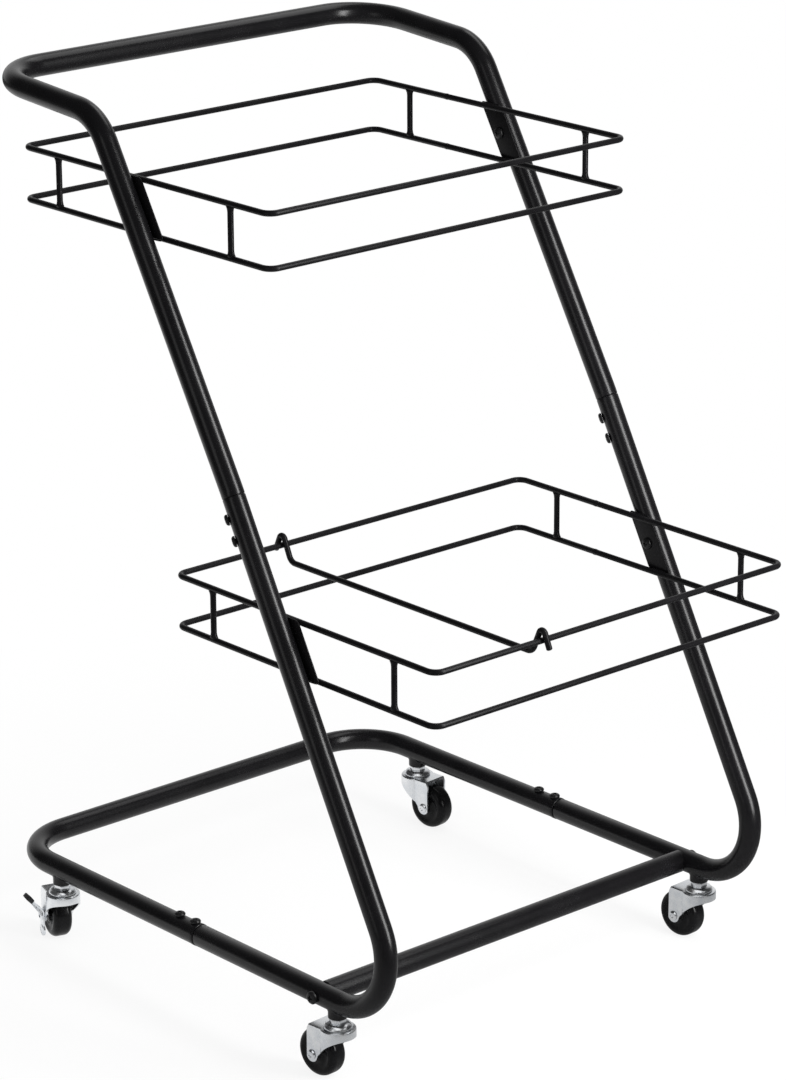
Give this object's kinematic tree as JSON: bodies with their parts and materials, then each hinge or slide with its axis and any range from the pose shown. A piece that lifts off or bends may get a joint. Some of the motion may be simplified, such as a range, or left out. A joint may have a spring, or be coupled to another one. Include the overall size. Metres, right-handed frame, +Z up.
{
  "type": "mobile file cart",
  "caption": "Rolling file cart: leaning bent-tube legs with a push handle carry open wire baskets for hanging files, on swivel casters with a side brake and a sliding divider rod.",
  "frame": {"origin": "on the floor, under the middle of the cart's outline", "axes": "+Z up, +X to the cart's right, -Y to the front where the legs stand and the lower basket reaches out, +Y to the rear under the push handle"},
  "size_m": [0.4526, 0.5578, 0.766],
  "materials": {
    "tube": "satin black powder coat on bent steel tube",
    "wire": "satin black powder coat on round steel wire and plate",
    "screw": "black oxide screws",
    "zinc": "bright zinc plated pressed steel",
    "tread": "hard black moulded wheel with a soft sheen",
    "cap": "black moulded foot cap"
  },
  "bodies": {
    "frame": {"base_screw_left_1": "screw", "base_screw_left_2": "screw", "base_screw_right_1": "screw", "base_screw_right_2": "screw", "caster_socket_front_left": "tube", "caster_socket_front_right": "tube", "caster_socket_rear_left": "tube", "caster_socket_rear_right": "tube", "caster_stem_front_left": "zinc", "caster_stem_front_right": "zinc", "caster_stem_rear_left": "zinc", "caster_stem_rear_right": "zinc", "cross_bar": "tube", "cross_bar_bolt_left": "screw", "cross_bar_bolt_right": "screw", "handle_tube": "tube", "left_leg_tube": "tube", "leg_screw_left_1": "screw", "leg_screw_left_2": "screw", "leg_screw_right_1": "screw", "leg_screw_right_2": "screw", "lower_basket_bottom_wire": "wire", "lower_basket_post_left_front": "wire", "lower_basket_post_left_rear": "wire", "lower_basket_post_right_front": "wire", "lower_basket_post_right_rear": "wire", "lower_basket_top_wire": "wire", "lower_bracket_bolt_left": "screw", "lower_bracket_bolt_right": "screw", "lower_bracket_left": "wire", "lower_bracket_right": "wire", "rear_base_tube": "tube", "right_leg_tube": "tube", "upper_basket_bottom_wire": "wire", "upper_basket_post_left_front": "wire", "upper_basket_post_left_rear": "wire", "upper_basket_post_right_front": "wire", "upper_basket_post_right_rear": "wire", "upper_basket_top_wire": "wire", "upper_bracket_bolt_left": "screw", "upper_bracket_bolt_right": "screw", "upper_bracket_left": "wire", "upper_bracket_right": "wire"},
    "divider": {"divider_rod": "wire"},
    "fork_front_left": {"caster_fork_front_left": "zinc", "caster_axle_front_left": "zinc"},
    "wheel_front_left": {"caster_wheel_front_left": "tread"},
    "fork_front_right": {"caster_fork_front_right": "zinc", "caster_axle_front_right": "zinc"},
    "wheel_front_right": {"caster_wheel_front_right": "tread"},
    "fork_rear_left": {"caster_fork_rear_left": "zinc", "caster_axle_rear_left": "zinc"},
    "wheel_rear_left": {"caster_wheel_rear_left": "tread"},
    "brake": {"brake_lever_rear_left": "zinc", "brake_lever_cap_rear_left": "cap"},
    "fork_rear_right": {"caster_fork_rear_right": "zinc", "caster_axle_rear_right": "zinc"},
    "wheel_rear_right": {"caster_wheel_rear_right": "tread"}
  },
  "joints": [
    {"name": "divider_slide", "type": "slide", "parent": "frame", "child": "divider", "axis": [1, 0, 0], "range_m": [-0.09, 0.249]},
    {"name": "front_left_swivel", "type": "hinge", "parent": "frame", "child": "fork_front_left", "pos_m": [-0.2061, -0.1666, 0.0467], "axis": [0, 0, 1], "continuous": true},
    {"name": "front_left_wheel_spin", "type": "hinge", "parent": "fork_front_left", "child": "wheel_front_left", "pos_m": [-0.20736, -0.14864, 0.0205], "axis": [-0.9976, -0.0698, 0], "continuous": true},
    {"name": "front_right_swivel", "type": "hinge", "parent": "frame", "child": "fork_front_right", "pos_m": [0.2061, -0.1666, 0.0467], "axis": [0, 0, 1], "continuous": true},
    {"name": "front_right_wheel_spin", "type": "hinge", "parent": "fork_front_right", "child": "wheel_front_right", "pos_m": [0.20516, -0.14863, 0.0205], "axis": [-0.9986, -0.0523, 0], "continuous": true},
    {"name": "rear_left_swivel", "type": "hinge", "parent": "frame", "child": "fork_rear_left", "pos_m": [-0.2061, 0.1984, 0.0467], "axis": [0, 0, 1], "continuous": true},
    {"name": "rear_left_wheel_spin", "type": "hinge", "parent": "fork_rear_left", "child": "wheel_rear_left", "pos_m": [-0.20054, 0.21552, 0.0205], "axis": [-0.9511, 0.309, 0], "continuous": true},
    {"name": "brake_lever_turn", "type": "hinge", "parent": "fork_rear_left", "child": "brake", "pos_m": [-0.20054, 0.21552, 0.0205], "axis": [-0.9511, 0.309, 0], "range_deg": [0, 35]},
    {"name": "rear_right_swivel", "type": "hinge", "parent": "frame", "child": "fork_rear_right", "pos_m": [0.2061, 0.1984, 0.0467], "axis": [0, 0, 1], "continuous": true},
    {"name": "rear_right_wheel_spin", "type": "hinge", "parent": "fork_rear_right", "child": "wheel_rear_right", "pos_m": [0.20767, 0.18047, 0.0205], "axis": [0.9962, 0.0872, 0], "continuous": true}
  ]
}
